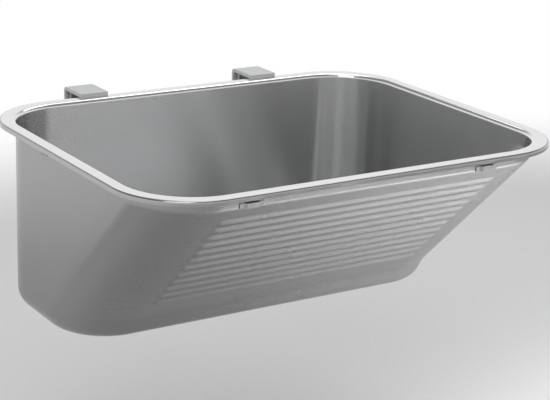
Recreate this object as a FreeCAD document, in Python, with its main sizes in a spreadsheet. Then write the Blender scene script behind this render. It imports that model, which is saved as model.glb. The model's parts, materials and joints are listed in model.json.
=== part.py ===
"""Wall-hung utility sink: a pressed steel bowl with a ribbed slanted front, its two wall
brackets with rim clamps, the mounting straps under its rim, and its plug waste.

Millimetres. +Z is up and +Y points at the wall. The origin lies on the wall's face,
midway between the brackets and midway between the upper and lower wall holes.
"""
import FreeCAD, Part
import math
import os
import Sketcher

SIZES = {
    # bowl: rim outline, sheet and turned-down edge
    "rim_length": 500.0,
    "rim_depth": 400.0,
    "rim_corner": 80.0,
    "sheet": 1.0,
    "lip_drop": 5.0,
    "lip_round": 2.0,
    # bowl: walls, seen from outside
    "wall_inset": 16.0,
    "wall_corner": 68.0,
    "rim_inner_round": 4.5,
    "bowl_depth": 205.0,
    "bottom_round": 20.0,
    # bowl: slanted front, from the collar's lower edge to the steeper band above the bottom
    "collar_height": 17.0,
    "slant_depth": 169.0,
    "pan_height": 24.0,
    "pan_setback": 13.0,
    "bend_round": 5.0,
    "low_bend_round": 40.0,
    # washboard ribs pressed outwards
    "rib_count": 12,
    "rib_length": 331.0,
    "rib_pitch": 15.8,
    "rib_width": 11.0,
    "rib_height": 2.2,
    "first_rib": 25.4,
    # outlet in the bottom
    "outlet_from_wall": 130.0,
    "recess_radius": 40.0,
    "recess_depth": 3.0,
    "outlet_radius": 26.0,
    # place on the wall
    "wall_gap": 40.0,
    "bracket_spacing": 220.0,
    "upper_hole_drop": 50.0,
    "wall_hole_spacing": 70.0,
    "wall_hole_radius": 4.5,
    # wall bracket, a bent strip
    "bracket_width": 34.0,
    "bracket_thick": 4.0,
    "bracket_lap": 4.0,
    "bracket_bend": 1.5,
    "bracket_corner": 2.0,
    "bracket_edge": 0.8,
    "arm_drop": 140.0,
    "tip_height": 34.0,
    # rubber buffer on the bracket's lower tip
    "buffer_thick": 6.0,
    "buffer_width": 28.0,
    "buffer_height": 24.0,
    "buffer_corner": 4.0,
    "buffer_stem_radius": 3.5,
    "buffer_stem_gap": 0.1,
    "buffer_bulb": 1.0,
    "buffer_bulb_length": 3.0,
    # clamp that holds the rim's rear edge up against the bracket
    "jaw_width": 26.0,
    "jaw_thick": 4.0,
    "jaw_drop": 12.0,
    "jaw_from_rim": 5.0,
    "jaw_from_leg": 3.0,
    "stud_from_wall": 25.0,
    "stud_radius": 3.0,
    "stud_length": 32.0,
    "stud_chamfer": 0.6,
    "thread_gap": 0.05,
    "stud_hole_gap": 0.4,
    "washer_radius": 9.0,
    "washer_thick": 1.6,
    "nut_flats": 10.0,
    "nut_height": 5.0,
    # spot-welded straps that worktop clips hook into
    "strap_length": 26.0,
    "strap_height": 5.0,
    "strap_thick": 1.0,
    "strap_rise": 2.5,
    "strap_middle": 12.0,
    "strap_drop": 11.6,
    "strap_spread": 276.0,
    "side_strap_from_wall": 175.0,
    # plug waste: seals, strainer flange, body and screw
    "seal_radius": 33.0,
    "upper_seal_thick": 1.5,
    "lower_seal_thick": 2.5,
    "flange_radius": 35.0,
    "flange_thick": 1.5,
    "seat_top_radius": 22.5,
    "seat_low_radius": 19.5,
    "seat_depth": 11.0,
    "grid_radius": 13.0,
    "grid_hole_radius": 2.8,
    "grid_hole_count": 8,
    "screw_radius": 3.0,
    "screw_hole_gap": 0.3,
    "screw_head_radius": 5.5,
    "screw_head_height": 2.0,
    "screw_length": 15.0,
    "cup_radius": 30.0,
    "cup_depth": 9.0,
    "cup_wall": 3.0,
    "tail_radius": 23.9,
    "tail_wall": 3.4,
    "tail_length": 18.0,
    "boss_radius": 6.0,
    "boss_height": 8.0,
    "arm_width": 3.0,
    "arm_count": 3,
    # plug, its eye and its pull ring
    "plug_gap": 0.3,
    "plug_height": 7.5,
    "plug_rim": 24.0,
    "plug_rim_thick": 2.0,
    "eye_shank_radius": 2.0,
    "eye_foot_radius": 4.5,
    "eye_foot_thick": 1.0,
    "eye_width": 5.0,
    "eye_thick": 2.4,
    "eye_above_wire": 1.4,
    "ring_wire": 1.0,
    "ring_width": 18.0,
    "ring_reach": 14.0,
    "ring_bend": 8.0,
    "ring_knee": 2.0,
    "ring_hole_gap": 0.08,
    # how far a cutting shape runs past what it cuts
    "overrun": 10.0,
}

# Heights and places worked out from the sizes, as expressions.
RIM_TOP = "(dims.upper_hole_drop + dims.wall_hole_spacing / 2)"
REAR_RIM = "(-dims.wall_gap)"
FRONT_RIM = "(-dims.wall_gap - dims.rim_depth)"
REAR_WALL = f"({REAR_RIM} - dims.wall_inset)"
FRONT_WALL = f"({FRONT_RIM} + dims.wall_inset)"
SIDE_RIM = "(dims.rim_length / 2)"
SIDE_WALL = f"({SIDE_RIM} - dims.wall_inset)"
SLANT_END = "(dims.bowl_depth - dims.pan_height)"
SLANT_HEIGHT = f"({SLANT_END} - dims.collar_height)"
SLANT_ANGLE = f"atan(dims.slant_depth / {SLANT_HEIGHT})"
PAN_ANGLE = "atan(dims.pan_setback / dims.pan_height)"
BOTTOM = f"({RIM_TOP} - dims.bowl_depth)"
OUTLET_Y = "(-dims.outlet_from_wall)"
RECESS_FLOOR = f"({BOTTOM} + dims.sheet - dims.recess_depth)"
RECESS_UNDERSIDE = f"({RECESS_FLOOR} - dims.sheet)"
STUD_Y = "(-dims.stud_from_wall)"
JAW_TOP = f"({RIM_TOP} - dims.jaw_drop)"
JAW_UNDERSIDE = f"({JAW_TOP} - dims.jaw_thick)"
NUT_TOP = f"({JAW_UNDERSIDE} - dims.washer_thick)"
ARM_TOP = f"({RIM_TOP} - dims.arm_drop)"
TIP_FRONT = f"({REAR_WALL} + dims.buffer_thick)"
TIP_MIDDLE = f"({ARM_TOP} - dims.tip_height / 2 - dims.bracket_thick / 2)"
FLANGE_TOP = f"({RECESS_FLOOR} + dims.upper_seal_thick + dims.flange_thick)"
GRID_TOP = f"({FLANGE_TOP} - dims.seat_depth)"
BODY_TOP = f"({RECESS_UNDERSIDE} - dims.lower_seal_thick)"
CUP_FLOOR = f"({BODY_TOP} - dims.cup_depth)"
TAIL_TOP = f"({CUP_FLOOR} - dims.cup_wall)"
TAIL_END = f"({TAIL_TOP} - dims.tail_length)"
TAIL_BORE = "(dims.tail_radius - dims.tail_wall)"
PLUG_TOP = f"({FLANGE_TOP} + dims.plug_gap + dims.plug_rim_thick)"
PLUG_LOW = f"({FLANGE_TOP} - dims.plug_height)"
RING_AXIS = f"({PLUG_TOP} + dims.plug_gap + dims.ring_wire)"

TINY = 1e-4

doc = FreeCAD.newDocument("utility_sink")


def write_sheet():
    """The spreadsheet of driving dimensions: a name, its value and an alias in each row."""
    sheet = doc.addObject("Spreadsheet::Sheet", "dims")
    for row, (name, size) in enumerate(SIZES.items(), start=1):
        sheet.set(f"A{row}", name)
        sheet.set(f"B{row}", str(size))
        sheet.setAlias(f"B{row}", name)
    doc.recompute()
    return sheet


dims = write_sheet()
reader = doc.addObject("App::FeaturePython", "reader")


def value(expression):
    """The number that an expression of the sheet's sizes gives."""
    return float(reader.evalExpression(expression))


def new_body(name):
    body = doc.addObject("PartDesign::Body", name)
    body.Label = name
    return body


def sketch_on(body, name, role, height="0", across="0", along="0"):
    """A sketch on one of the body's origin planes, moved along its normal and its own x and y."""
    plane = [item for item in body.Origin.OriginFeatures if item.Role == role][0]
    sketch = body.newObject("Sketcher::SketchObject", name)
    sketch.AttachmentSupport = [(plane, "")]
    sketch.MapMode = "FlatFace"
    sketch.setExpression("AttachmentOffset.Base.z", height)
    sketch.setExpression("AttachmentOffset.Base.x", across)
    sketch.setExpression("AttachmentOffset.Base.y", along)
    return sketch


def bind(sketch, kind, *terms, size):
    """A dimension of a sketch, bound to an expression."""
    index = sketch.addConstraint(Sketcher.Constraint(kind, *terms, value(size)))
    sketch.setExpression(f"Constraints[{index}]", size)


def pin_point(sketch, item, end, x, y):
    """Fix a point of a sketch: on an axis where its place is zero, else by its distances."""
    for kind, axis, place in (("DistanceX", -2, x), ("DistanceY", -1, y)):
        if place == "0":
            sketch.addConstraint(Sketcher.Constraint("PointOnObject", item, end, axis))
        else:
            bind(sketch, kind, -1, 1, item, end, size=place)


def unit(start, stop):
    step = stop - start
    return step * (1 / step.Length)


def corner_arc(before, corner, after, radius):
    """Where a rounded corner begins and ends, and its arc, counter-clockwise."""
    back = unit(corner, before)
    ahead = unit(corner, after)
    half = back.getAngle(ahead) / 2
    begin = corner + back * (radius / math.tan(half))
    end = corner + ahead * (radius / math.tan(half))
    centre = corner + unit(FreeCAD.Vector(), back + ahead) * (radius / math.sin(half))
    turns_left = back.cross(ahead).z < 0
    first, last = (begin, end) if turns_left else (end, begin)
    angles = [math.atan2(point.y - centre.y, point.x - centre.x) for point in (first, last)]
    circle = Part.Circle(centre, FreeCAD.Vector(0, 0, 1), radius)
    return begin, end, Part.ArcOfCircle(circle, *angles), turns_left


def outline(sketch, points, closed=True):
    """Lines through (x, y) or (x, y, radius) points; one with a radius is a rounded corner."""
    spots = [FreeCAD.Vector(value(point[0]), value(point[1]), 0) for point in points]
    count = len(points)
    rounded = {}
    for number, point in enumerate(points):
        if len(point) > 2:
            before, after = spots[number - 1], spots[(number + 1) % count]
            rounded[number] = corner_arc(before, spots[number], after, value(point[2]))
    begins = [rounded[i][1] if i in rounded else spots[i] for i in range(count)]
    ends = [rounded[i][0] if i in rounded else spots[i] for i in range(count)]
    lines = []
    for number in range(count if closed else count - 1):
        line = Part.LineSegment(begins[number], ends[(number + 1) % count])
        lines.append(sketch.addGeometry(line, False))
    for number, point in enumerate(points):
        if not closed and number in (0, count - 1):
            end = 1 if number == 0 else 2
            pin_point(sketch, lines[0] if number == 0 else lines[-1], end, *point[:2])
            continue
        before, after = lines[number - 1], lines[number % len(lines)]
        if number not in rounded:
            sketch.addConstraint(Sketcher.Constraint("Coincident", before, 2, after, 1))
            pin_point(sketch, after, 1, *point[:2])
            continue
        arc = sketch.addGeometry(rounded[number][2], False)
        mark = sketch.addGeometry(Part.Point(spots[number]), True)
        near, far = (1, 2) if rounded[number][3] else (2, 1)
        sketch.addConstraint(Sketcher.Constraint("Tangent", before, 2, arc, near))
        sketch.addConstraint(Sketcher.Constraint("Tangent", arc, far, after, 1))
        sketch.addConstraint(Sketcher.Constraint("PointOnObject", mark, 1, before))
        sketch.addConstraint(Sketcher.Constraint("PointOnObject", mark, 1, after))
        bind(sketch, "Radius", arc, size=point[2])
        pin_point(sketch, mark, 1, *point[:2])


def circle(sketch, x, y, radius):
    ring = Part.Circle(FreeCAD.Vector(value(x), value(y), 0), FreeCAD.Vector(0, 0, 1), value(radius))
    number = sketch.addGeometry(ring, False)
    pin_point(sketch, number, 3, x, y)
    bind(sketch, "Radius", number, size=radius)


def rounded_box(sketch, half_width, front, rear, radius):
    """A rectangle about the middle plane, with four like corners."""
    outline(sketch, [
        (f"-{half_width}", front, radius),
        (half_width, front, radius),
        (half_width, rear, radius),
        (f"-{half_width}", rear, radius),
    ])


def pad(body, name, sketch, length, down=False, middle=False):
    feature = body.newObject("PartDesign::Pad", name)
    feature.Profile = sketch
    feature.setExpression("Length", length)
    feature.Reversed = down
    feature.SideType = "Symmetric" if middle else "One side"
    doc.recompute()
    return feature


def pocket(body, name, sketch, length, up=False, middle=False):
    """Cut a sketch's outline out of the body. Raises an error where it cuts nothing."""
    before = body.Shape.Volume
    feature = body.newObject("PartDesign::Pocket", name)
    feature.Profile = sketch
    feature.setExpression("Length", length)
    feature.Reversed = up
    feature.SideType = "Symmetric" if middle else "One side"
    doc.recompute()
    if body.Shape.Volume > before - TINY:
        raise ValueError(f"{name} cuts nothing")
    return feature


def revolve(body, name, sketch, axis="V_Axis"):
    feature = body.newObject("PartDesign::Revolution", name)
    feature.Profile = sketch
    feature.ReferenceAxis = (sketch, [axis])
    feature.Angle = 360
    doc.recompute()
    return feature


def polar(body, name, original, sketch, count):
    """Copies of a feature around the upright axis of the sketch's origin."""
    feature = body.newObject("PartDesign::PolarPattern", name)
    feature.Originals = [original]
    feature.Axis = (sketch, ["N_Axis"])
    feature.Angle = 360
    feature.setExpression("Occurrences", count)
    body.Tip = feature
    doc.recompute()
    return feature


def fillet(body, name, keep, radius):
    """Round the edges of the body for which keep(edge) is true."""
    base = body.Tip
    names = [f"Edge{number}" for number, edge in enumerate(base.Shape.Edges, start=1) if keep(edge)]
    if not names:
        raise ValueError(f"{name} finds no edge")
    feature = body.newObject("PartDesign::Fillet", name)
    feature.Base = (base, names)
    feature.setExpression("Radius", radius)
    doc.recompute()
    return feature


def lies_at(edge, height):
    """True for an edge that lies wholly at one height."""
    box = edge.BoundBox
    return abs(box.ZMin - value(height)) < TINY and abs(box.ZMax - value(height)) < TINY


def turned(name, points, x="0", y=OUTLET_Y):
    """A body turned about an upright axis from (radius, height) points."""
    body = new_body(name)
    sketch = sketch_on(body, f"{name}_outline", "YZ_Plane")
    outline(sketch, points)
    revolve(body, f"{name}_turn", sketch)
    body.setExpression("Placement.Base.x", x)
    body.setExpression("Placement.Base.y", y)
    doc.recompute()
    return body


def bowl_form(body, inset, top):
    """The bowl's shape as a full solid: outside with inset 0, inside with the sheet's
    thickness. Its rim plate ends at the height top."""
    name = body.Name
    bend_shift = f"{inset} * tan({SLANT_ANGLE} / 2)"
    low_shift = f"{inset} / cos(({SLANT_ANGLE} - {PAN_ANGLE}) / 2)"
    low_turn = f"(({SLANT_ANGLE} + {PAN_ANGLE}) / 2)"
    side = f"({SIDE_WALL} - {inset})"
    front = f"({FRONT_WALL} + {inset})"
    rear = f"({REAR_WALL} - {inset})"
    corner = f"(dims.wall_corner - {inset})"
    floor = f"({BOTTOM} + {inset})"

    course = sketch_on(body, f"{name}_course", "YZ_Plane")
    outline(course, [
        (front, top),
        (front, f"{RIM_TOP} - dims.collar_height + {bend_shift}", f"dims.bend_round - {inset}"),
        (f"{FRONT_WALL} + dims.slant_depth + {low_shift} * cos({low_turn})",
         f"{RIM_TOP} - {SLANT_END} + {low_shift} * sin({low_turn})",
         f"dims.low_bend_round + {inset}"),
        (f"{FRONT_WALL} + dims.slant_depth + dims.pan_setback"
         f" + {inset} * cos({PAN_ANGLE}) / (1 + sin({PAN_ANGLE}))", floor),
    ], closed=False)
    section = sketch_on(body, f"{name}_section", "XY_Plane", height=top)
    outline(section, [
        (f"-{side}", front, corner),
        (side, front, corner),
        (side, f"{REAR_WALL} + dims.overrun"),
        (f"-{side}", f"{REAR_WALL} + dims.overrun"),
    ])
    sweep = body.newObject("PartDesign::AdditivePipe", f"{name}_sweep")
    sweep.Profile = section
    sweep.Spine = (course, [])
    sweep.Mode = "Fixed"
    doc.recompute()

    back = sketch_on(body, f"{name}_back", "XY_Plane", height=top)
    outline(back, [
        (f"-{side} - dims.overrun", f"{rear} - {corner} - dims.overrun"),
        (f"-{side}", f"{rear} - {corner} - dims.overrun"),
        (f"-{side}", rear, corner),
        (side, rear, corner),
        (side, f"{rear} - {corner} - dims.overrun"),
        (f"{side} + dims.overrun", f"{rear} - {corner} - dims.overrun"),
        (f"{side} + dims.overrun", f"{rear} + dims.slant_depth + dims.overrun * 3"),
        (f"-{side} - dims.overrun", f"{rear} + dims.slant_depth + dims.overrun * 3"),
    ])
    pocket(body, f"{name}_trim", back, "dims.bowl_depth + dims.overrun * 2")
    fillet(body, f"{name}_bottom_round", lambda edge: lies_at(edge, floor), f"dims.bottom_round - {inset}")

    level = f"({RIM_TOP} - dims.sheet + {inset})"
    plate = sketch_on(body, f"{name}_plate", "XY_Plane", height=top)
    rounded_box(plate, SIDE_RIM, FRONT_RIM, REAR_RIM, "dims.rim_corner")
    pad(body, f"{name}_rim_plate", plate, f"{top} - {level}", down=True)
    fillet(body, f"{name}_rim_round",
           lambda edge: lies_at(edge, level) and not reaches(edge, "dims.sheet"),
           f"dims.rim_inner_round - dims.sheet + {inset}")
    add_ribs(body, inset)
    add_recess(body, inset)


def reaches(edge, margin):
    """True for an edge that comes within a margin of the rim's outline."""
    box = edge.BoundBox
    near = value(margin) + TINY
    spare = (value(SIDE_RIM) - box.XMax, box.XMin + value(SIDE_RIM),
             box.YMin - value(FRONT_RIM), value(REAR_RIM) - box.YMax)
    return min(spare) < near


def add_ribs(body, inset):
    """Round-ended ridges across the slanted front, as a row of bars sunk into it."""
    name = body.Name
    full_radius = "((dims.rib_width ^ 2 / 4 + dims.rib_height ^ 2) / (2 * dims.rib_height))"
    radius = f"({full_radius} - {inset})"
    half_length = f"(dims.rib_length / 2 + {full_radius} - dims.rib_width / 2 - {inset})"
    sink = f"({full_radius} - dims.rib_height)"
    centre_y = f"{FRONT_WALL} + dims.first_rib * sin({SLANT_ANGLE}) + {sink} * cos({SLANT_ANGLE})"
    centre_z = (f"{RIM_TOP} - dims.collar_height - dims.first_rib * cos({SLANT_ANGLE})"
                f" + {sink} * sin({SLANT_ANGLE})")
    sketch = sketch_on(body, f"{name}_rib", "XY_Plane", height=centre_z, along=centre_y)
    sketch.AttachmentOffset.Rotation = FreeCAD.Rotation(FreeCAD.Vector(-1, 0, 0), 45)
    sketch.setExpression("AttachmentOffset.Rotation.Angle", f"90 deg - {SLANT_ANGLE}")
    reach, size = value(half_length), value(radius)
    up = FreeCAD.Vector(0, 0, 1)
    ends = [FreeCAD.Vector(reach - size, 0, 0), FreeCAD.Vector(size - reach, 0, 0)]
    axis_line = Part.LineSegment(FreeCAD.Vector(-reach, 0, 0), FreeCAD.Vector(reach, 0, 0))
    top_line = Part.LineSegment(FreeCAD.Vector(reach - size, size, 0), FreeCAD.Vector(size - reach, size, 0))
    base = sketch.addGeometry(axis_line, False)
    right = sketch.addGeometry(Part.ArcOfCircle(Part.Circle(ends[0], up, size), 0, math.pi / 2), False)
    crest = sketch.addGeometry(top_line, False)
    left = sketch.addGeometry(Part.ArcOfCircle(Part.Circle(ends[1], up, size), math.pi / 2, math.pi), False)
    for terms in (("Coincident", base, 2, right, 1), ("Tangent", right, 2, crest, 1),
                  ("Tangent", crest, 2, left, 1), ("Coincident", left, 2, base, 1),
                  ("Horizontal", crest), ("PointOnObject", right, 3, -1), ("PointOnObject", left, 3, -1)):
        sketch.addConstraint(Sketcher.Constraint(*terms))
    pin_point(sketch, base, 1, f"-{half_length}", "0")
    pin_point(sketch, base, 2, half_length, "0")
    bind(sketch, "Radius", right, size=radius)
    first = revolve(body, f"{name}_first_rib", sketch, "H_Axis")
    row = body.newObject("PartDesign::LinearPattern", f"{name}_ribs")
    row.Originals = [first]
    row.Direction = (sketch, ["V_Axis"])
    row.setExpression("Length", "dims.rib_pitch * (dims.rib_count - 1)")
    row.setExpression("Occurrences", "dims.rib_count")
    body.Tip = row
    doc.recompute()


def add_recess(body, inset):
    """The shallow dish pressed around the outlet, with a 45 degree wall."""
    name = body.Name
    radius = f"dims.recess_radius + (dims.sheet - {inset}) * tan(45 / 2)"
    floor = f"({BOTTOM} + {inset})"
    sketch = sketch_on(body, f"{name}_recess", "YZ_Plane", across=OUTLET_Y)
    outline(sketch, [
        ("0", f"{floor} + dims.bottom_round / 2"),
        (f"{radius} + dims.recess_depth + dims.bottom_round / 2", f"{floor} + dims.bottom_round / 2"),
        (radius, f"{floor} - dims.recess_depth", "dims.lip_round"),
        ("0", f"{floor} - dims.recess_depth"),
    ])
    revolve(body, f"{name}_recess_turn", sketch)


def make_basin():
    """The bowl: one pressed sheet, with its turned-down rim and the hole for the waste."""
    hollow = new_body("bowl_hollow")
    bowl_form(hollow, "dims.sheet", f"({RIM_TOP} + dims.overrun)")
    body = new_body("basin")
    bowl_form(body, "0", RIM_TOP)
    lip = sketch_on(body, "basin_lip", "XY_Plane", height=RIM_TOP)
    rounded_box(lip, SIDE_RIM, FRONT_RIM, REAR_RIM, "dims.rim_corner")
    rounded_box(lip, f"({SIDE_RIM} - dims.sheet)", f"{FRONT_RIM} + dims.sheet",
                f"{REAR_RIM} - dims.sheet", "dims.rim_corner - dims.sheet")
    pad(body, "basin_lip_pad", lip, "dims.lip_drop", down=True)
    fillet(body, "basin_lip_round", lambda edge: lies_at(edge, RIM_TOP), "dims.lip_round")
    underside = f"{RIM_TOP} - dims.sheet"
    fillet(body, "basin_lip_inner_round",
           lambda edge: lies_at(edge, underside) and reaches(edge, "dims.sheet"),
           "dims.lip_round - dims.sheet")
    cut = body.newObject("PartDesign::Boolean", "basin_hollow_cut")
    cut.Type = "Cut"
    cut.Group = [hollow]
    doc.recompute()
    hole = sketch_on(body, "basin_outlet", "XY_Plane", height=f"{RECESS_FLOOR} + dims.sheet")
    circle(hole, "0", OUTLET_Y, "dims.outlet_radius")
    pocket(body, "basin_outlet_hole", hole, "dims.overrun")
    return body


def make_strap(name, x, y, turn):
    """A bent strap spot-welded under the rim; its raised middle leaves a slot at the wall."""
    body = new_body(name)
    sketch = sketch_on(body, f"{name}_outline", "XY_Plane", height=f"{RIM_TOP} - dims.strap_drop")
    end = "dims.strap_length / 2"
    middle = "dims.strap_middle / 2"
    foot = f"{middle} + dims.strap_rise"
    raised = "dims.strap_rise + dims.strap_thick"
    half = [
        (end, "0"),
        (end, "-dims.strap_thick"),
        (foot, "-dims.strap_thick"),
        (middle, f"-({raised})"),
    ]
    inner = [(middle, "-dims.strap_rise"), (foot, "0")]
    mirrored = [(f"-({x_side})", y_side) for x_side, y_side in half]
    mirrored_inner = [(f"-({x_side})", y_side) for x_side, y_side in inner]
    outline(sketch, half + mirrored[::-1] + mirrored_inner[::-1] + inner)
    pad(body, f"{name}_pad", sketch, "dims.strap_height", down=True)
    body.Placement = FreeCAD.Placement(FreeCAD.Vector(), FreeCAD.Rotation(FreeCAD.Vector(0, 0, 1), turn))
    body.setExpression("Placement.Base.x", x)
    body.setExpression("Placement.Base.y", y)
    doc.recompute()
    return body


def make_straps():
    spread = "dims.strap_spread / 2"
    side_y = "-dims.side_strap_from_wall"
    places = {
        "front_strap_left": (f"-{spread}", FRONT_WALL, 0),
        "front_strap_right": (spread, FRONT_WALL, 0),
        "side_strap_left": (f"-{SIDE_WALL}", side_y, -90),
        "side_strap_right": (SIDE_WALL, side_y, 90),
        "rear_strap_left": (f"-{spread}", REAR_WALL, 180),
        "rear_strap_right": (spread, REAR_WALL, 180),
    }
    return [make_strap(name, *place) for name, place in places.items()]


def make_bracket(name, x):
    """A bent strip: it laps the rim, runs down the wall and reaches out to the bowl's back."""
    body = new_body(name)
    thick = "dims.bracket_thick"
    inner = "dims.bracket_bend"
    outer = f"{inner} + {thick}"
    plate_front = f"({REAR_RIM} - dims.bracket_lap)"
    plate_top = f"({RIM_TOP} + {thick})"
    strip = sketch_on(body, f"{name}_strip", "YZ_Plane")
    outline(strip, [
        (plate_front, RIM_TOP),
        (plate_front, plate_top),
        ("0", plate_top, outer),
        ("0", f"{ARM_TOP} - {thick}", outer),
        (f"{TIP_FRONT} + {thick}", f"{ARM_TOP} - {thick}", inner),
        (f"{TIP_FRONT} + {thick}", f"{ARM_TOP} - dims.tip_height"),
        (TIP_FRONT, f"{ARM_TOP} - dims.tip_height"),
        (TIP_FRONT, ARM_TOP, outer),
        (f"-{thick}", ARM_TOP, inner),
        (f"-{thick}", RIM_TOP, inner),
    ])
    pad(body, f"{name}_pad", strip, "dims.bracket_width", middle=True)
    holes = sketch_on(body, f"{name}_holes", "XZ_Plane")
    circle(holes, "0", "dims.wall_hole_spacing / 2", "dims.wall_hole_radius")
    circle(holes, "0", "-dims.wall_hole_spacing / 2", "dims.wall_hole_radius")
    pocket(body, f"{name}_wall_holes", holes, "dims.overrun", up=True)
    seat = sketch_on(body, f"{name}_seat", "XZ_Plane", height=f"-{TIP_FRONT}")
    circle(seat, "0", TIP_MIDDLE, "dims.buffer_stem_radius")
    pocket(body, f"{name}_buffer_hole", seat, "dims.overrun")
    front = value(plate_front) + TINY
    rim_top = value(RIM_TOP) - TINY
    fillet(body, f"{name}_corners",
           lambda edge: edge.BoundBox.YMax < front and edge.BoundBox.ZMin > rim_top
           and edge.BoundBox.ZLength > TINY, "dims.bracket_corner")
    bend_line = -value(outer) - TINY
    fillet(body, f"{name}_edges",
           lambda edge: lies_at(edge, plate_top) and edge.BoundBox.YMin < bend_line, "dims.bracket_edge")
    body.setExpression("Placement.Base.x", x)
    doc.recompute()
    return body


def make_buffer(name, x):
    """The rubber pad between a bracket's tip and the bowl's back, with its push-in stem."""
    body = new_body(name)
    face = sketch_on(body, f"{name}_face", "XZ_Plane", height=f"-{TIP_FRONT}")
    rounded_box(face, "(dims.buffer_width / 2)", f"{TIP_MIDDLE} - dims.buffer_height / 2",
                f"{TIP_MIDDLE} + dims.buffer_height / 2", "dims.buffer_corner")
    pad(body, f"{name}_pad", face, "dims.buffer_thick")
    stem_radius = "dims.buffer_stem_radius - dims.buffer_stem_gap"
    stem = sketch_on(body, f"{name}_stem", "XZ_Plane", height=f"-{TIP_FRONT}")
    circle(stem, "0", TIP_MIDDLE, stem_radius)
    pad(body, f"{name}_stem_pad", stem, "dims.bracket_thick + dims.buffer_bulb_length", down=True)
    behind = f"-({TIP_FRONT} + dims.bracket_thick)"
    bulb = sketch_on(body, f"{name}_bulb", "XZ_Plane", height=behind)
    circle(bulb, "0", TIP_MIDDLE, "dims.buffer_stem_radius + dims.buffer_bulb")
    pad(body, f"{name}_bulb_pad", bulb, "dims.buffer_bulb_length", down=True)
    body.setExpression("Placement.Base.x", x)
    doc.recompute()
    return body


def make_jaw(name, x):
    """The clamp's jaw: its nose stands inside the turned-down rim, its heel at the leg."""
    body = new_body(name)
    thick = "dims.jaw_thick"
    nose = f"({REAR_RIM} - dims.jaw_from_rim)"
    heel = "(-dims.bracket_thick - dims.jaw_from_leg)"
    sketch = sketch_on(body, f"{name}_outline", "YZ_Plane")
    outline(sketch, [
        (f"{nose} - {thick}", JAW_UNDERSIDE),
        (f"{nose} - {thick}", f"{RIM_TOP} - dims.sheet"),
        (nose, f"{RIM_TOP} - dims.sheet"),
        (nose, JAW_TOP),
        (f"{heel} - {thick}", JAW_TOP),
        (f"{heel} - {thick}", RIM_TOP),
        (heel, RIM_TOP),
        (heel, JAW_UNDERSIDE),
    ])
    pad(body, f"{name}_pad", sketch, "dims.jaw_width", middle=True)
    hole = sketch_on(body, f"{name}_hole", "XY_Plane", height=JAW_TOP)
    circle(hole, "0", STUD_Y, "dims.stud_radius + dims.stud_hole_gap")
    pocket(body, f"{name}_stud_hole", hole, "dims.overrun")
    body.setExpression("Placement.Base.x", x)
    doc.recompute()
    return body


def make_nut(name, x):
    """A hexagon nut under the clamp's washer."""
    block = doc.addObject("Part::Prism", f"{name}_block")
    block.Polygon = 6
    block.setExpression("Circumradius", "dims.nut_flats / sqrt(3)")
    bore = doc.addObject("Part::Cylinder", f"{name}_bore")
    bore.setExpression("Radius", "dims.stud_radius + dims.thread_gap")
    for item in (block, bore):
        item.setExpression("Height", "dims.nut_height")
        item.setExpression("Placement.Base.x", x)
        item.setExpression("Placement.Base.y", STUD_Y)
        item.setExpression("Placement.Base.z", f"{NUT_TOP} - dims.nut_height")
    nut = doc.addObject("Part::Cut", name)
    nut.Base = block
    nut.Tool = bore
    nut.Label = name
    doc.recompute()
    return nut


def make_clamp(side, x):
    """The stud under a bracket's plate, and the jaw, washer and nut on it."""
    tip = f"({RIM_TOP} - dims.stud_length)"
    stud = turned(f"clamp_stud_{side}", [
        ("0", RIM_TOP),
        ("dims.stud_radius", RIM_TOP),
        ("dims.stud_radius", f"{tip} + dims.stud_chamfer"),
        ("dims.stud_radius - dims.stud_chamfer", tip),
        ("0", tip),
    ], x, STUD_Y)
    bore = "dims.stud_radius + dims.stud_hole_gap"
    washer = turned(f"clamp_washer_{side}", [
        (bore, JAW_UNDERSIDE),
        ("dims.washer_radius", JAW_UNDERSIDE),
        ("dims.washer_radius", NUT_TOP),
        (bore, NUT_TOP),
    ], x, STUD_Y)
    return [stud, washer, make_jaw(f"clamp_jaw_{side}", x), make_nut(f"clamp_nut_{side}", x)]


def make_wall_fittings():
    """Both brackets, each with its buffer and its rim clamp."""
    pieces = []
    for side, sign in (("left", "-"), ("right", "")):
        x = f"{sign}dims.bracket_spacing / 2"
        pieces += [make_bracket(f"wall_bracket_{side}", x), make_buffer(f"wall_buffer_{side}", x)]
        pieces += make_clamp(side, x)
    return pieces


def make_seals():
    """The two rubber rings that the bowl's sheet is held between."""
    pieces = []
    for name, low, thick in (("upper_seal", RECESS_FLOOR, "dims.upper_seal_thick"),
                             ("lower_seal", BODY_TOP, "dims.lower_seal_thick")):
        pieces.append(turned(name, [
            ("dims.outlet_radius", low),
            ("dims.seal_radius", low),
            ("dims.seal_radius", f"{low} + {thick}"),
            ("dims.outlet_radius", f"{low} + {thick}"),
        ]))
    return pieces


def make_waste_flange():
    """The visible strainer flange: a conical seat for the plug over a drilled grid."""
    thick = "dims.flange_thick"
    body = turned("waste_flange", [
        ("dims.seat_top_radius", FLANGE_TOP),
        ("dims.flange_radius", FLANGE_TOP, f"{thick} / 2"),
        ("dims.flange_radius", f"{FLANGE_TOP} - {thick}"),
        (f"dims.seat_top_radius + {thick}", f"{FLANGE_TOP} - {thick}"),
        (f"dims.seat_low_radius + {thick}", f"{GRID_TOP} - {thick}"),
        ("0", f"{GRID_TOP} - {thick}"),
        ("0", GRID_TOP),
        ("dims.seat_low_radius", GRID_TOP),
    ])
    centre = sketch_on(body, "waste_flange_centre", "XY_Plane", height=GRID_TOP)
    circle(centre, "0", "0", "dims.screw_radius + dims.screw_hole_gap")
    pocket(body, "waste_flange_screw_hole", centre, "dims.overrun")
    hole = sketch_on(body, "waste_flange_grid", "XY_Plane", height=GRID_TOP)
    circle(hole, "dims.grid_radius", "0", "dims.grid_hole_radius")
    first = pocket(body, "waste_flange_first_hole", hole, "dims.overrun")
    polar(body, "waste_flange_holes", first, hole, "dims.grid_hole_count")
    return body


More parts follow.
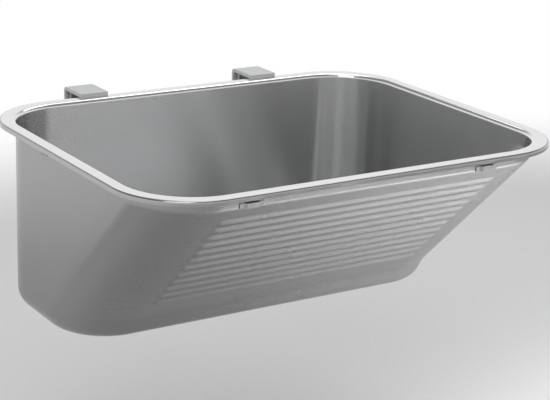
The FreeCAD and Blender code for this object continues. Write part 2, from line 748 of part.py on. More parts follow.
def make_waste_body():
    """The cup under the bowl with its threaded tail, and the spider that takes the screw."""
    body = turned("waste_body", [
        ("dims.outlet_radius", BODY_TOP),
        ("dims.seal_radius", BODY_TOP),
        ("dims.seal_radius", f"{BODY_TOP} - dims.cup_wall"),
        ("dims.cup_radius", f"{BODY_TOP} - dims.cup_wall"),
        ("dims.cup_radius", TAIL_TOP),
        ("dims.tail_radius", TAIL_TOP),
        ("dims.tail_radius", TAIL_END),
        (TAIL_BORE, TAIL_END),
        (TAIL_BORE, CUP_FLOOR),
        ("dims.outlet_radius", CUP_FLOOR),
    ])
    arm = sketch_on(body, "waste_body_arm", "XY_Plane", height=CUP_FLOOR)
    outline(arm, [
        ("dims.arm_width / 2", "0"),
        ("dims.arm_width / 2", "dims.tail_radius - dims.tail_wall / 2"),
        ("-dims.arm_width / 2", "dims.tail_radius - dims.tail_wall / 2"),
        ("-dims.arm_width / 2", "0"),
    ])
    first = pad(body, "waste_body_first_arm", arm, "dims.boss_height", down=True)
    polar(body, "waste_body_arms", first, arm, "dims.arm_count")
    boss = sketch_on(body, "waste_body_boss", "XY_Plane", height=CUP_FLOOR)
    circle(boss, "0", "0", "dims.boss_radius")
    pad(body, "waste_body_boss_pad", boss, "dims.boss_height", down=True)
    thread = sketch_on(body, "waste_body_thread", "XY_Plane", height=CUP_FLOOR)
    circle(thread, "0", "0", "dims.screw_radius + dims.thread_gap")
    pocket(body, "waste_body_thread_hole", thread, "dims.overrun")
    return body


def make_waste_screw():
    """The screw that draws the flange and the body together."""
    head_top = f"({GRID_TOP} + dims.screw_head_height)"
    tip = f"({GRID_TOP} - dims.screw_length)"
    return turned("waste_screw", [
        ("0", head_top),
        ("dims.screw_head_radius", head_top, "dims.screw_head_height / 2"),
        ("dims.screw_head_radius", GRID_TOP),
        ("dims.screw_radius", GRID_TOP),
        ("dims.screw_radius", f"{tip} + dims.stud_chamfer"),
        ("dims.screw_radius - dims.stud_chamfer", tip),
        ("0", tip),
    ])


def make_plug():
    """The rubber plug: a cone that follows the seat, under a rim that laps the flange."""
    slope = "(dims.seat_top_radius - dims.seat_low_radius) / dims.seat_depth"
    low_radius = f"dims.seat_top_radius - {slope} * dims.plug_height - dims.plug_gap"
    return turned("plug", [
        ("dims.eye_foot_radius", PLUG_TOP),
        ("dims.plug_rim", PLUG_TOP, "dims.plug_rim_thick / 2"),
        ("dims.plug_rim", f"{FLANGE_TOP} + dims.plug_gap"),
        ("dims.seat_top_radius - dims.plug_gap", f"{FLANGE_TOP} + dims.plug_gap"),
        (low_radius, PLUG_LOW),
        ("dims.eye_shank_radius", PLUG_LOW),
        ("dims.eye_shank_radius", f"{PLUG_TOP} - dims.eye_foot_thick"),
        ("dims.eye_foot_radius", f"{PLUG_TOP} - dims.eye_foot_thick"),
    ])


def make_plug_eye():
    """The metal eye riveted through the plug."""
    foot_low = f"({PLUG_TOP} - dims.eye_foot_thick)"
    rivet_low = f"({PLUG_LOW} - dims.eye_foot_thick)"
    body = turned("plug_eye", [
        ("0", PLUG_TOP),
        ("dims.eye_foot_radius", PLUG_TOP),
        ("dims.eye_foot_radius", foot_low),
        ("dims.eye_shank_radius", foot_low),
        ("dims.eye_shank_radius", PLUG_LOW),
        ("dims.eye_foot_radius", PLUG_LOW),
        ("dims.eye_foot_radius", rivet_low),
        ("0", rivet_low),
    ])
    half = "dims.eye_width / 2"
    crown = f"({RING_AXIS} + dims.ring_wire + dims.eye_above_wire)"
    lug = sketch_on(body, "plug_eye_lug", "YZ_Plane")
    outline(lug, [
        (f"-{half}", f"{PLUG_TOP} - dims.eye_foot_thick / 2"),
        (half, f"{PLUG_TOP} - dims.eye_foot_thick / 2"),
        (half, crown, "dims.ring_wire"),
        (f"-{half}", crown, "dims.ring_wire"),
    ])
    pad(body, "plug_eye_lug_pad", lug, "dims.eye_thick", middle=True)
    hole = sketch_on(body, "plug_eye_bore", "YZ_Plane")
    circle(hole, "0", RING_AXIS, "dims.ring_wire + dims.ring_hole_gap")
    pocket(body, "plug_eye_hole", hole, "dims.overrun", middle=True)
    return body


def make_plug_ring():
    """A closed loop of wire, with a straight bar that turns in the plug's eye."""
    body = new_body("plug_ring")
    course = sketch_on(body, "plug_ring_course", "XY_Plane", height=RING_AXIS)
    outline(course, [
        ("-dims.ring_width / 2", "0", "dims.ring_knee"),
        ("-dims.ring_width / 2", "-dims.ring_reach", "dims.ring_bend"),
        ("dims.ring_width / 2", "-dims.ring_reach", "dims.ring_bend"),
        ("dims.ring_width / 2", "0", "dims.ring_knee"),
    ])
    wire = sketch_on(body, "plug_ring_wire", "YZ_Plane", height="-dims.ring_width / 2 + dims.ring_knee")
    circle(wire, "0", RING_AXIS, "dims.ring_wire")
    sweep = body.newObject("PartDesign::AdditivePipe", "plug_ring_sweep")
    sweep.Profile = wire
    sweep.Spine = (course, [])
    body.setExpression("Placement.Base.y", OUTLET_Y)
    doc.recompute()
    return body


def check(pieces):
    """Stop with an error where anything in the document failed or a piece is not one solid."""
    for item in doc.Objects:
        if "Invalid" in item.State or "Error" in item.State:
            raise ValueError(f"{item.Label} failed: {item.getStatusString()}")
    for piece in pieces:
        shape = piece.Shape
        if shape.isNull() or not shape.isValid() or len(shape.Solids) != 1:
            raise ValueError(f"{piece.Label} is not one valid solid")


def write(pieces):
    os.makedirs("parts", exist_ok=True)
    for piece in pieces:
        piece.Shape.exportStep(f"parts/{piece.Label}.step")
        print(f"{piece.Label}: {piece.Shape.Volume:.1f} mm3")


sub_parts = [make_basin(), *make_straps(), *make_wall_fittings(), *make_seals()]
sub_parts += [make_waste_flange(), make_waste_body(), make_waste_screw()]
sub_parts += [make_plug(), make_plug_eye(), make_plug_ring()]
doc.recompute()
check(sub_parts)
write(sub_parts)
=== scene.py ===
"""Looks of the utility sink: its pressed bowl with the ribs as one smooth sheet, and a material
for every piece. Metres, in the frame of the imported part."""
import json
import math

import bmesh
import bpy
from mathutils import Matrix, Vector


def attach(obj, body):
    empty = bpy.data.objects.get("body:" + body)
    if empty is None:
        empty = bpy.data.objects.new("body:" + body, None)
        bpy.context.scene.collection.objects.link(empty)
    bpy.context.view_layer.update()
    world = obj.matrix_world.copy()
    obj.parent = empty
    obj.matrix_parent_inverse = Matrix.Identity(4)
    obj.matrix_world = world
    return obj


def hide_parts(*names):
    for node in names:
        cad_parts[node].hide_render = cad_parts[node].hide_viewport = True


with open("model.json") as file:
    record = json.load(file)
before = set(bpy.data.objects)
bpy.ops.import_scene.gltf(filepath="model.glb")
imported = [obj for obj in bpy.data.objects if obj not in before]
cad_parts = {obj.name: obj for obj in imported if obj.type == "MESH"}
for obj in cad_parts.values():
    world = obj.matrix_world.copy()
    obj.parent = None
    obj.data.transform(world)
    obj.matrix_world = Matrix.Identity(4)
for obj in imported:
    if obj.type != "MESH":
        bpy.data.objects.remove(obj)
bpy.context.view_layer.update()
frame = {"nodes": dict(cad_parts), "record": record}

MM = 0.001

# The bowl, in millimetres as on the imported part.
RIM_TOP = 85.0
RIM_HALF = 250.0
RIM_FRONT = -440.0
RIM_REAR = -40.0
RIM_CORNER = 80.0
SHEET = 1.0
LIP_DROP = 5.0
LIP_ROUND = 2.0
WALL_INSET = 16.0
WALL_CORNER = 68.0
INNER_ROUND = 4.5
DEPTH = 205.0
BOTTOM_ROUND = 20.0
COLLAR = 17.0
PAN_HEIGHT = 24.0
PAN_SETBACK = 13.0
SLANT_DEPTH = 169.0
BEND_ROUND = 5.0
LOW_BEND_ROUND = 40.0
RIB_COUNT = 12
RIB_LENGTH = 331.0
RIB_PITCH = 15.8
RIB_HEIGHT = 2.2
RIB_FOOT = 14.6
FIRST_RIB = 25.4
OUTLET = (0.0, -130.0)
OUTLET_RADIUS = 26.0
RECESS_RADIUS = 40.0
RECESS_DEPTH = 3.0
RECESS_ROUND = 2.0
RECESS_SLOPE = math.pi / 4

SLANT_HEIGHT = DEPTH - PAN_HEIGHT - COLLAR
SLANT_ANGLE = math.atan2(SLANT_DEPTH, SLANT_HEIGHT)
PAN_ANGLE = math.atan2(PAN_SETBACK, PAN_HEIGHT)
RIB_LINE_END = RIB_LENGTH / 2 - RIB_FOOT / 2

# How finely the sheet is divided.
CORNER_STEPS = 18
SIDE_STEPS = 6
PLAIN_FRONT_STEPS = 8
RIB_END_STEPS = 10
STEPS_PER_RIB = 12
ROUND_STEPS = 8
BAND_STEPS = 4
RECESS_STEPS = 4
SUPPORT = 0.6
SHARP_DEGREES = 35

# The bowl's materials, in the order of their numbers on the mesh.
SATIN, POLISHED, INSIDE, LIP = range(4)
BOWL_MATERIALS = ("bowl_steel", "rim_steel", "inner_steel", "lip_steel")


def front_columns(half):
    """Places across the front from the middle to the end: fine where the ribs end."""
    plain = [RIB_LINE_END * step / PLAIN_FRONT_STEPS for step in range(PLAIN_FRONT_STEPS)]
    rest = half - RIB_LINE_END
    fine = [RIB_LINE_END + rest * step / RIB_END_STEPS for step in range(RIB_END_STEPS + 1)]
    return plain + fine


def ring(half, front, rear, corner, height, lift=None):
    """Points around a rounded rectangle, starting at the rear's middle, seen from above
    counter-clockwise. lift(x) moves the points of the front line."""
    points = []
    flat = half - corner
    half_front = front_columns(flat)
    across = [-x for x in reversed(half_front)] + half_front[1:]
    back = [flat * (1 - 2 * step / SIDE_STEPS) for step in range(SIDE_STEPS + 1)]
    low, high = front + corner, rear - corner
    sides = [low + (high - low) * step / SIDE_STEPS for step in range(SIDE_STEPS + 1)]

    def arc(x, y, start):
        for step in range(1, CORNER_STEPS):
            angle = math.radians(start + 90 * step / CORNER_STEPS)
            points.append((x + corner * math.cos(angle), y + corner * math.sin(angle), height))

    points += [(x, rear, height) for x in back]
    arc(-flat, high, 90)
    points += [(-half, y, height) for y in reversed(sides)]
    arc(-flat, low, 180)
    for x in across:
        shift = lift(x) if lift else (0, 0)
        points.append((x, front + shift[0], height + shift[1]))
    arc(flat, low, 270)
    points += [(half, y, height) for y in sides]
    arc(flat, high, 0)
    return points


def rib_lift(along):
    """How the ribs move the slanted sheet at a distance along the slant, as a function of x."""
    nearest = round((along - FIRST_RIB) / RIB_PITCH)
    nearest = min(max(nearest, 0), RIB_COUNT - 1)
    off = along - FIRST_RIB - nearest * RIB_PITCH

    def lift(x):
        away = math.hypot(max(abs(x) - RIB_LINE_END, 0.0), off)
        share = min(away / (RIB_FOOT / 2), 1.0)
        rise = RIB_HEIGHT * (0.5 + 0.5 * math.cos(math.pi * share))
        return (-rise * math.cos(SLANT_ANGLE), -rise * math.sin(SLANT_ANGLE))
    return lift


def course(inset):
    """Rows (front y, height, distance along the slant or None) of the front's line, downwards."""
    front = RIM_FRONT + WALL_INSET
    upper = RIM_TOP - COLLAR + inset * math.tan(SLANT_ANGLE / 2)
    shift = inset / math.cos((SLANT_ANGLE - PAN_ANGLE) / 2)
    turned = (SLANT_ANGLE + PAN_ANGLE) / 2
    low_y = front + SLANT_DEPTH + shift * math.cos(turned)
    low_z = RIM_TOP - DEPTH + PAN_HEIGHT + shift * math.sin(turned)
    rows = []

    def bend(corner_y, corner_z, radius, first, last, side):
        """An arc between two directions, measured from straight down."""
        reach = radius * math.tan(abs(last - first) / 2)
        start_y = corner_y - reach * math.sin(first)
        start_z = corner_z + reach * math.cos(first)
        centre_y = start_y + side * radius * math.cos(first)
        centre_z = start_z + side * radius * math.sin(first)
        for step in range(ROUND_STEPS + 1):
            turn = first + (last - first) * step / ROUND_STEPS
            y = centre_y - side * radius * math.cos(turn)
            z = centre_z - side * radius * math.sin(turn)
            rows.append((y, z, None))

    bend(front + inset, upper, BEND_ROUND - inset, 0.0, SLANT_ANGLE, 1)
    begin = FIRST_RIB - RIB_PITCH / 2
    for step in range(RIB_COUNT * STEPS_PER_RIB + 1):
        along = begin + RIB_PITCH * step / STEPS_PER_RIB
        y = front + along * math.sin(SLANT_ANGLE) + inset * math.cos(SLANT_ANGLE)
        z = RIM_TOP - COLLAR - along * math.cos(SLANT_ANGLE) + inset * math.sin(SLANT_ANGLE)
        rows.append((y, z, along))
    bend(low_y, low_z, LOW_BEND_ROUND + inset, SLANT_ANGLE, PAN_ANGLE, -1)
    radius = BOTTOM_ROUND - inset
    centre_z = RIM_TOP - DEPTH + BOTTOM_ROUND
    line_y = low_y + (low_z - centre_z) * math.tan(PAN_ANGLE)
    centre_y = line_y + radius / math.cos(PAN_ANGLE)
    first = math.asin((centre_z - rows[-1][1]) / radius)
    for step in range(1, BAND_STEPS + 1):
        turn = first + (PAN_ANGLE - first) * step / BAND_STEPS
        drop = radius * math.sin(turn)
        rows.append((line_y + drop * math.tan(PAN_ANGLE), centre_z - drop, None))
    for step in range(1, ROUND_STEPS + 1):
        turn = PAN_ANGLE + (math.pi / 2 - PAN_ANGLE) * step / ROUND_STEPS
        rows.append((centre_y - radius * math.cos(turn), centre_z - radius * math.sin(turn), None))
    return rows


def wall_rings(inset):
    """Rings of the wall from the flange's round down to the floor, for a face of the sheet."""
    half = RIM_HALF - WALL_INSET - inset
    front = RIM_FRONT + WALL_INSET + inset
    rear = RIM_REAR - WALL_INSET - inset
    corner = WALL_CORNER - inset
    floor = RIM_TOP - DEPTH + inset
    top = RIM_TOP - SHEET + inset
    radius = INNER_ROUND - SHEET + inset
    rings = []
    for step in range(ROUND_STEPS + 1):
        turn = math.pi / 2 * step / ROUND_STEPS
        out = radius * (1 - math.sin(turn))
        rings.append(ring(half + out, front - out, rear + out, corner + out,
                          top - radius * (1 - math.cos(turn))))
    rings.append(ring(half, front, rear, corner, top - radius - SUPPORT))
    radius = BOTTOM_ROUND - inset
    for y, z, along in course(inset):
        below = min(max(floor + radius - z, 0.0), radius)
        out = radius - math.sqrt(radius ** 2 - below ** 2)
        rings.append(ring(half - out, y, rear - out, corner - out, z,
                          rib_lift(along) if along else None))
    out = radius + SUPPORT
    rings.append(ring(half - out, y + SUPPORT, rear - out, corner - out, floor))
    return rings


def circle_like(rim, radius, height):
    """A circle around the outlet with a point in the direction of each point of a ring."""
    points = []
    for x, y, _ in rim:
        angle = math.atan2(y - OUTLET[1], x - OUTLET[0])
        points.append((OUTLET[0] + radius * math.cos(angle),
                       OUTLET[1] + radius * math.sin(angle), height))
    return points


def floor_rings(rim, inset):
    """Rings of the floor from the wall's foot to the outlet's edge, with the pressed recess."""
    floor = RIM_TOP - DEPTH + inset
    low = floor - RECESS_DEPTH
    reach = RECESS_ROUND * math.tan(RECESS_SLOPE / 2)
    foot = RECESS_RADIUS + (SHEET - inset) * math.tan(RECESS_SLOPE / 2) - reach
    edge = foot + RECESS_DEPTH + 2 * reach
    bends = []
    for step in range(RECESS_STEPS + 1):
        turn = RECESS_SLOPE * step / RECESS_STEPS
        bends.append((RECESS_ROUND * math.sin(turn), RECESS_ROUND * (1 - math.cos(turn))))
    rings = [circle_like(rim, edge + SUPPORT, floor)]
    rings += [circle_like(rim, edge - across, floor - drop) for across, drop in bends]
    rings += [circle_like(rim, foot + across, low + drop) for across, drop in reversed(bends)]
    rings.append(circle_like(rim, foot - SUPPORT, low))
    rings.append(circle_like(rim, OUTLET_RADIUS, low))
    return rings


def rim_ring(out, height):
    """The rim's outline, widened."""
    return ring(RIM_HALF + out, RIM_FRONT - out, RIM_REAR + out, RIM_CORNER + out, height)


def lip_rings():
    """Rings from the turned-down edge's foot, up its outer face and onto the flange's top."""
    rings = [rim_ring(0, RIM_TOP - LIP_DROP), rim_ring(0, RIM_TOP - LIP_ROUND - SUPPORT)]
    for step in range(ROUND_STEPS + 1):
        turn = math.pi / 2 * step / ROUND_STEPS
        rings.append(rim_ring(LIP_ROUND * (math.cos(turn) - 1),
                              RIM_TOP - LIP_ROUND * (1 - math.sin(turn))))
    rings.append(rim_ring(-LIP_ROUND - SUPPORT, RIM_TOP))
    return rings


def under_lip_rings():
    """Rings of the flange's underside outwards and down the inner face of the turned-down edge."""
    inner = LIP_ROUND - SHEET
    rings = [rim_ring(-LIP_ROUND - SUPPORT, RIM_TOP - SHEET)]
    for step in range(ROUND_STEPS + 1):
        turn = math.pi / 2 * step / ROUND_STEPS
        rings.append(rim_ring(-LIP_ROUND + inner * math.sin(turn),
                              RIM_TOP - SHEET - inner * (1 - math.cos(turn))))
    rings.append(rim_ring(-SHEET, RIM_TOP - LIP_DROP))
    return rings


def sheet_mesh(name, rings, marks):
    """A closed sheet through rings of like length; marks gives each ring its material number."""
    mesh = bpy.data.meshes.new(name)
    columns = len(rings[0])
    verts = [Vector(point) * MM for points in rings for point in points]
    faces = []
    numbers = []
    for row in range(len(rings)):
        after = (row + 1) % len(rings)
        for column in range(columns):
            beside = (column + 1) % columns
            faces.append((row * columns + column, row * columns + beside,
                          after * columns + beside, after * columns + column))
            numbers.append(marks[row])
    mesh.from_pydata(verts, [], faces)
    mesh.polygons.foreach_set("material_index", numbers)
    mesh.polygons.foreach_set("use_smooth", [True] * len(faces))
    along = [0.0]
    for points, following in zip(rings, rings[1:] + rings[:1]):
        along.append(along[-1] + (Vector(following[0]) - Vector(points[0])).length)
    around = [0.0]
    widest = rings[0]
    for point, following in zip(widest, widest[1:] + widest[:1]):
        around.append(around[-1] + (Vector(following) - Vector(point)).length)
    layer = mesh.uv_layers.new(name="Sheet")
    spots = []
    for row in range(len(rings)):
        for column in range(columns):
            for r, c in ((row, column), (row, column + 1),
                         (row + 1, column + 1), (row + 1, column)):
                spots += [around[c] * MM, along[r] * MM]
    layer.data.foreach_set("uv", spots)
    mesh.update()
    return mesh


def mark_sharp(mesh):
    """Outward normals, and sharp edges where the sheet turns hard."""
    work = bmesh.new()
    work.from_mesh(mesh)
    bmesh.ops.recalc_face_normals(work, faces=work.faces)
    limit = math.radians(SHARP_DEGREES)
    for edge in work.edges:
        edge.smooth = len(edge.link_faces) == 2 and edge.calc_face_angle() < limit
    work.to_mesh(mesh)
    work.free()


def make_bowl():
    """The whole bowl as one thin closed sheet."""
    lip = lip_rings()
    inner = wall_rings(SHEET)
    inner_floor = floor_rings(inner[-1], SHEET)
    outer = wall_rings(0.0)
    outer_floor = floor_rings(outer[-1], 0.0)
    under = under_lip_rings()
    rings = lip + inner + inner_floor + outer_floor[::-1] + outer[::-1] + under
    flange_begin = len(lip) - 2
    wall_begin = len(lip) + ROUND_STEPS - 1
    inside_end = len(lip) + len(inner) + len(inner_floor) - 1
    # The turned-down edge's rings get the lip material, whose darker tone is a painted dark
    # reflection.
    marks = [LIP] * flange_begin + [POLISHED] * (wall_begin - flange_begin)
    marks += [INSIDE] * (inside_end - wall_begin) + [SATIN] * (len(rings) - inside_end)
    mesh = sheet_mesh("bowl", rings, marks)
    mark_sharp(mesh)
    bowl = bpy.data.objects.new("bowl", mesh)
    bpy.context.collection.objects.link(bowl)
    return bowl


# The middle range of a noise's values.
NOISE_RANGE = (0.3, 0.7)
# Scale of the brushed streaks: long along the sheet, fine across it.
STREAK_SCALE = (30, 2600, 2600)
STREAK_SHARE = 0.35
QUARTER_TURN = 0.25


def new_material(name, roughness=0.5, metallic=0.0, colour=(0.5, 0.5, 0.5)):
    material = bpy.data.materials.new(name)
    material.use_nodes = True
    nodes = material.node_tree.nodes
    shader = nodes["Principled BSDF"]
    shader.inputs["Base Color"].default_value = (*colour, 1.0)
    shader.inputs["Metallic"].default_value = metallic
    shader.inputs["Roughness"].default_value = roughness
    return material, nodes, material.node_tree.links, shader


def noise(nodes, links, vector, scale, detail, roughness=0.5):
    node = nodes.new("ShaderNodeTexNoise")
    node.inputs["Scale"].default_value = scale
    node.inputs["Detail"].default_value = detail
    node.inputs["Roughness"].default_value = roughness
    links.new(vector, node.inputs["Vector"])
    return node.outputs["Fac"]


def stretched(nodes, links, vector, scale):
    node = nodes.new("ShaderNodeMapping")
    node.inputs["Scale"].default_value = scale
    links.new(vector, node.inputs["Vector"])
    return node.outputs["Vector"]


def spread(nodes, links, value, low, high):
    """The value's middle range stretched between two results."""
    node = nodes.new("ShaderNodeMapRange")
    node.inputs["From Min"].default_value, node.inputs["From Max"].default_value = NOISE_RANGE
    node.inputs["To Min"].default_value = low
    node.inputs["To Max"].default_value = high
    links.new(value, node.inputs["Value"])
    return node.outputs["Result"]


def tint(nodes, links, value, dark, light):
    node = nodes.new("ShaderNodeMix")
    node.data_type = "RGBA"
    node.inputs["A"].default_value = (*dark, 1.0)
    node.inputs["B"].default_value = (*light, 1.0)
    links.new(value, node.inputs["Factor"])
    return node.outputs["Result"]


def bump(nodes, links, shader, height, distance, strength=1.0, under=None):
    node = nodes.new("ShaderNodeBump")
    node.inputs["Distance"].default_value = distance
    node.inputs["Strength"].default_value = strength
    links.new(height, node.inputs["Height"])
    if under:
        links.new(under, node.inputs["Normal"])
    links.new(node.outputs["Normal"], shader.inputs["Normal"])
    return node.outputs["Normal"]


def satin_steel(name, low, high, tone, on_sheet=False, brushed=0.0):
    """Brushed stainless: fine streaks along the sheet, soft cloudy wear and slight waves."""
    material, nodes, links, shader = new_material(name, metallic=1.0)
    coords = nodes.new("ShaderNodeTexCoord")
    place = stretched(nodes, links, coords.outputs["UV" if on_sheet else "Object"], STREAK_SCALE)
    streaks = noise(nodes, links, place, scale=1.0, detail=3.0, roughness=0.6)
    clouds = noise(nodes, links, coords.outputs["Object"], scale=9.0, detail=3.0)
    waves = noise(nodes, links, coords.outputs["Object"], scale=5.0, detail=1.0)
    mixed = nodes.new("ShaderNodeMath")
    mixed.operation = "MULTIPLY_ADD"
    mixed.inputs[1].default_value = STREAK_SHARE
    links.new(streaks, mixed.inputs[0])
    links.new(clouds, mixed.inputs[2])
    links.new(spread(nodes, links, mixed.outputs[0], low, high), shader.inputs["Roughness"])
    dark = [tone * share for share in (0.97, 0.975, 0.98)]
    light = [tone * share for share in (1.03, 1.035, 1.04)]
    links.new(tint(nodes, links, clouds, dark, light), shader.inputs["Base Color"])
    if brushed:
        shader.inputs["Anisotropic"].default_value = brushed
        shader.inputs["Anisotropic Rotation"].default_value = QUARTER_TURN
        tangent = nodes.new("ShaderNodeTangent")
        tangent.direction_type = "UV_MAP"
        tangent.uv_map = "Sheet"
        links.new(tangent.outputs["Tangent"], shader.inputs["Tangent"])
    slow = bump(nodes, links, shader, waves, distance=0.0002)
    bump(nodes, links, shader, streaks, distance=0.000002 if brushed else 0.000006, under=slow)
    return material


def polished_steel(name, roughness, tone):
    """Polished stainless with faint wipe marks."""
    material, nodes, links, shader = new_material(name, metallic=1.0)
    coords = nodes.new("ShaderNodeTexCoord")
    wipes = noise(nodes, links, coords.outputs["Object"], scale=40.0, detail=5.0)
    dull = spread(nodes, links, wipes, roughness * 0.7, roughness * 1.5)
    links.new(dull, shader.inputs["Roughness"])
    colour = tint(nodes, links, wipes, [tone * 0.98] * 3, [tone * 1.02] * 3)
    links.new(colour, shader.inputs["Base Color"])
    waves = noise(nodes, links, coords.outputs["Object"], scale=14.0, detail=1.0)
    bump(nodes, links, shader, waves, distance=0.00004)
    return material


def powder_coat(name, colour):
    """Matt sprayed coat with its fine orange peel."""
    material, nodes, links, shader = new_material(name, colour=colour)
    coords = nodes.new("ShaderNodeTexCoord")
    peel = noise(nodes, links, coords.outputs["Object"], scale=900.0, detail=3.0)
    clouds = noise(nodes, links, coords.outputs["Object"], scale=30.0, detail=3.0)
    links.new(spread(nodes, links, clouds, 0.42, 0.56), shader.inputs["Roughness"])
    dark = [share * 0.96 for share in colour]
    light = [min(share * 1.04, 1.0) for share in colour]
    links.new(tint(nodes, links, clouds, dark, light), shader.inputs["Base Color"])
    bump(nodes, links, shader, peel, distance=0.00004, strength=0.6)
    return material


def rubber(name, colour):
    """Rubber with a fine grain and worn, duller patches."""
    material, nodes, links, shader = new_material(name, colour=colour)
    coords = nodes.new("ShaderNodeTexCoord")
    grain = noise(nodes, links, coords.outputs["Object"], scale=1500.0, detail=2.0)
    clouds = noise(nodes, links, coords.outputs["Object"], scale=60.0, detail=3.0)
    links.new(spread(nodes, links, clouds, 0.5, 0.72), shader.inputs["Roughness"])
    light = [share * 1.35 for share in colour]
    links.new(tint(nodes, links, clouds, colour, light), shader.inputs["Base Color"])
    bump(nodes, links, shader, grain, distance=0.00002)
    return material


def plastic(name, colour):
    """Moulded plastic with a fine eroded texture."""
    material, nodes, links, shader = new_material(name, colour=colour)
    coords = nodes.new("ShaderNodeTexCoord")
    grain = noise(nodes, links, coords.outputs["Object"], scale=1200.0, detail=2.0)
    clouds = noise(nodes, links, coords.outputs["Object"], scale=40.0, detail=3.0)
    links.new(spread(nodes, links, clouds, 0.38, 0.5), shader.inputs["Roughness"])
    dark = [share * 0.97 for share in colour]
    links.new(tint(nodes, links, clouds, dark, colour), shader.inputs["Base Color"])
    bump(nodes, links, shader, grain, distance=0.00002)
    return material


MATERIALS = {
    # The outside of the sheet is the same steel as the inside; its tone of 0.33 against the
    # inside's 0.55 is painted shade.
    "bowl_steel": satin_steel("satin_outside_painted_shade", low=0.2, high=0.29, tone=0.33, on_sheet=True),
    "inner_steel": satin_steel("satin_inside", low=0.21, high=0.27, tone=0.55, on_sheet=True,
                               brushed=0.9),
    "rim_steel": polished_steel("polished_rim", roughness=0.09, tone=0.72),
    # The turned-down edge is the rim's own polished steel; its tone of 0.4 against the rim's 0.72
    # is a painted dark reflection.
    "lip_steel": polished_steel("polished_lip_painted_dark_reflection", roughness=0.14, tone=0.4),
    "strap_steel": satin_steel("satin_strip", low=0.28, high=0.38, tone=0.37),
    "zinc_steel": satin_steel("zinc_plate", low=0.3, high=0.45, tone=0.5),
    "bracket_paint": powder_coat("grey_coat", (0.66, 0.67, 0.67)),
    "polished_steel": polished_steel("polished_fittings", roughness=0.12, tone=0.75),
    "buffer_rubber": rubber("buffer_rubber_skin", (0.03, 0.03, 0.03)),
    "seal_rubber": rubber("seal_rubber_skin", (0.025, 0.025, 0.025)),
    "plug_rubber": rubber("plug_rubber_skin", (0.03, 0.03, 0.032)),
    "waste_plastic": plastic("waste_plastic_skin", (0.72, 0.72, 0.7)),
}


def dress_nodes():
    """Give every kept node its material."""
    for part in frame["record"]["subparts"]:
        node = frame["nodes"][part["node"]]
        node.data.materials.clear()
        node.data.materials.append(MATERIALS[part["material_slot"]])


dress_nodes()
bowl = make_bowl()
for key in BOWL_MATERIALS:
    bowl.data.materials.append(MATERIALS[key])
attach(bowl, "sink")
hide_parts("basin")

# Camera, fitted to the photograph.
AZIMUTH = math.radians(-32.8)
ELEVATION = math.radians(17.341)
ROLL = math.radians(1.899)
DISTANCE = 1.4873
FOCAL_PIXELS = 1653.3
PHOTO_WIDTH = 550
TARGET = Vector((-0.1358, -0.4599, 0.085))
SENSOR_WIDTH = 36.0
CLIP_END = 100

# Studio.
SINK_MIDDLE = (0.0, -0.24, 0.0)
AMBIENT = 0.44
FLOOR_HEIGHT = -0.35
FLOOR_HALF = 6.0
FLOOR_TONE = 0.9
FLOOR_ROUGHNESS = 0.8
FLOOR_SPECULAR = 0.1
FLOOR_MIDDLE = (0.3, -0.7, FLOOR_HEIGHT)
FLOOR_FADE = (1.42, 2.1)
SKY_BAND = (0.3, 0.6)
SKY_TONES = (1.0, 0.3)
LAMPS = (
    # name, place, target, size, spread in degrees, watts
    ("top", (0.0, -0.24, 1.8), SINK_MIDDLE, (0.9, 0.9), 180, 3.0),
    ("back_right", (0.82, 0.58, 1.38), SINK_MIDDLE, (0.9, 0.9), 180, 6.0),
    ("front_left", (-0.82, -1.06, 1.38), SINK_MIDDLE, (0.9, 0.9), 180, 5.6),
    ("floor_front", (0.77, -0.98, 0.7), (0.66, -0.86, FLOOR_HEIGHT), (0.4, 0.4), 72, 5.4),
)


def make_camera():
    data = bpy.data.cameras.new("camera")
    data.sensor_width = SENSOR_WIDTH
    data.lens = FOCAL_PIXELS * SENSOR_WIDTH / PHOTO_WIDTH
    data.dof.use_dof = False
    data.clip_end = CLIP_END
    camera = bpy.data.objects.new("camera", data)
    bpy.context.collection.objects.link(camera)
    back = Vector((math.sin(AZIMUTH) * math.cos(ELEVATION),
                   -math.cos(AZIMUTH) * math.cos(ELEVATION), math.sin(ELEVATION)))
    right = (-back).cross(Vector((0, 0, 1))).normalized()
    up = right.cross(-back)
    turned_right = right * math.cos(ROLL) + up * math.sin(ROLL)
    turned_up = -right * math.sin(ROLL) + up * math.cos(ROLL)
    turn = Matrix((turned_right, turned_up, back)).transposed().to_4x4()
    camera.matrix_world = Matrix.Translation(TARGET + back * DISTANCE) @ turn
    bpy.context.scene.camera = camera


def add_light(name, place, target, size, spread_angle, power):
    data = bpy.data.lights.new(name, "AREA")
    data.shape = "RECTANGLE"
    data.size, data.size_y = size
    data.energy = power
    data.spread = math.radians(spread_angle)
    light = bpy.data.objects.new(name, data)
    bpy.context.collection.objects.link(light)
    light.location = place
    aim = Vector(target) - Vector(place)
    light.rotation_euler = aim.to_track_quat("-Z", "Y").to_euler()


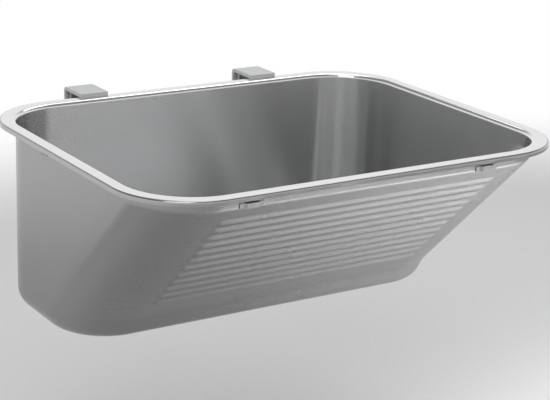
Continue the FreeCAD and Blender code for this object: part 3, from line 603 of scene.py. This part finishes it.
def add_floor():
    """A large pale floor that turns into the white background far away from the sink, and is
    clear from below."""
    half = FLOOR_HALF
    corners = ((-half, -half), (half, -half), (half, half), (-half, half))
    mesh = bpy.data.meshes.new("floor")
    mesh.from_pydata([(x, y, FLOOR_HEIGHT) for x, y in corners], [], [(0, 1, 2, 3)])
    floor = bpy.data.objects.new("floor", mesh)
    bpy.context.collection.objects.link(floor)
    material, nodes, links, shader = new_material("pale_floor", roughness=FLOOR_ROUGHNESS)
    shader.inputs["Specular IOR Level"].default_value = FLOOR_SPECULAR
    coords = nodes.new("ShaderNodeTexCoord")
    clouds = noise(nodes, links, coords.outputs["Object"], scale=3.0, detail=3.0)
    colour = tint(nodes, links, clouds, [FLOOR_TONE * 0.99] * 3, [FLOOR_TONE] * 3)
    links.new(colour, shader.inputs["Base Color"])
    length = nodes.new("ShaderNodeVectorMath")
    length.operation = "DISTANCE"
    length.inputs[1].default_value = FLOOR_MIDDLE
    links.new(coords.outputs["Object"], length.inputs[0])
    far = nodes.new("ShaderNodeMapRange")
    far.interpolation_type = "SMOOTHSTEP"
    far.inputs["From Min"].default_value, far.inputs["From Max"].default_value = FLOOR_FADE
    links.new(length.outputs["Value"], far.inputs["Value"])
    share = nodes.new("ShaderNodeMath")
    share.operation = "MULTIPLY"
    links.new(far.outputs["Result"], share.inputs[0])
    links.new(background_rays(nodes, links), share.inputs[1])
    glow = nodes.new("ShaderNodeEmission")
    faded = mixed_shaders(nodes, links, share.outputs[0], shader.outputs[0], glow.outputs[0])
    side = nodes.new("ShaderNodeNewGeometry")
    clear = nodes.new("ShaderNodeBsdfTransparent")
    result = mixed_shaders(nodes, links, side.outputs["Backfacing"], faded, clear.outputs[0])
    links.new(result, nodes["Material Output"].inputs["Surface"])
    mesh.materials.append(material)


def mixed_shaders(nodes, links, share, first, second):
    node = nodes.new("ShaderNodeMixShader")
    for place, output in enumerate((share, first, second)):
        links.new(output, node.inputs[place])
    return node.outputs[0]


def background_rays(nodes, links):
    """1 for rays that show the background: from the camera, a reflection or through glass."""
    path = nodes.new("ShaderNodeLightPath")
    total = path.outputs["Is Camera Ray"]
    for kind in ("Is Glossy Ray", "Is Transmission Ray"):
        node = nodes.new("ShaderNodeMath")
        node.operation = "MAXIMUM"
        links.new(total, node.inputs[0])
        links.new(path.outputs[kind], node.inputs[1])
        total = node.outputs[0]
    return total


def make_studio():
    """A surround that shows white up to its upper part, an even light from it, and soft lamps."""
    world = bpy.data.worlds.new("studio")
    bpy.context.scene.world = world
    world.use_nodes = True
    nodes, links = world.node_tree.nodes, world.node_tree.links
    even = nodes["Background"]
    even.inputs["Color"].default_value = (AMBIENT, AMBIENT, AMBIENT, 1)
    white = nodes.new("ShaderNodeBackground")
    coords = nodes.new("ShaderNodeTexCoord")
    axes = nodes.new("ShaderNodeSeparateXYZ")
    links.new(coords.outputs["Generated"], axes.inputs[0])
    high = nodes.new("ShaderNodeMapRange")
    high.interpolation_type = "SMOOTHSTEP"
    high.inputs["From Min"].default_value, high.inputs["From Max"].default_value = SKY_BAND
    high.inputs["To Min"].default_value, high.inputs["To Max"].default_value = SKY_TONES
    links.new(axes.outputs["Z"], high.inputs["Value"])
    links.new(high.outputs["Result"], white.inputs["Color"])
    result = mixed_shaders(nodes, links, background_rays(nodes, links), even.outputs[0],
                           white.outputs[0])
    links.new(result, nodes["World Output"].inputs["Surface"])
    add_floor()
    for lamp in LAMPS:
        add_light(*lamp)


make_camera()
make_studio()
scene = bpy.context.scene
scene.view_settings.view_transform = "Standard"
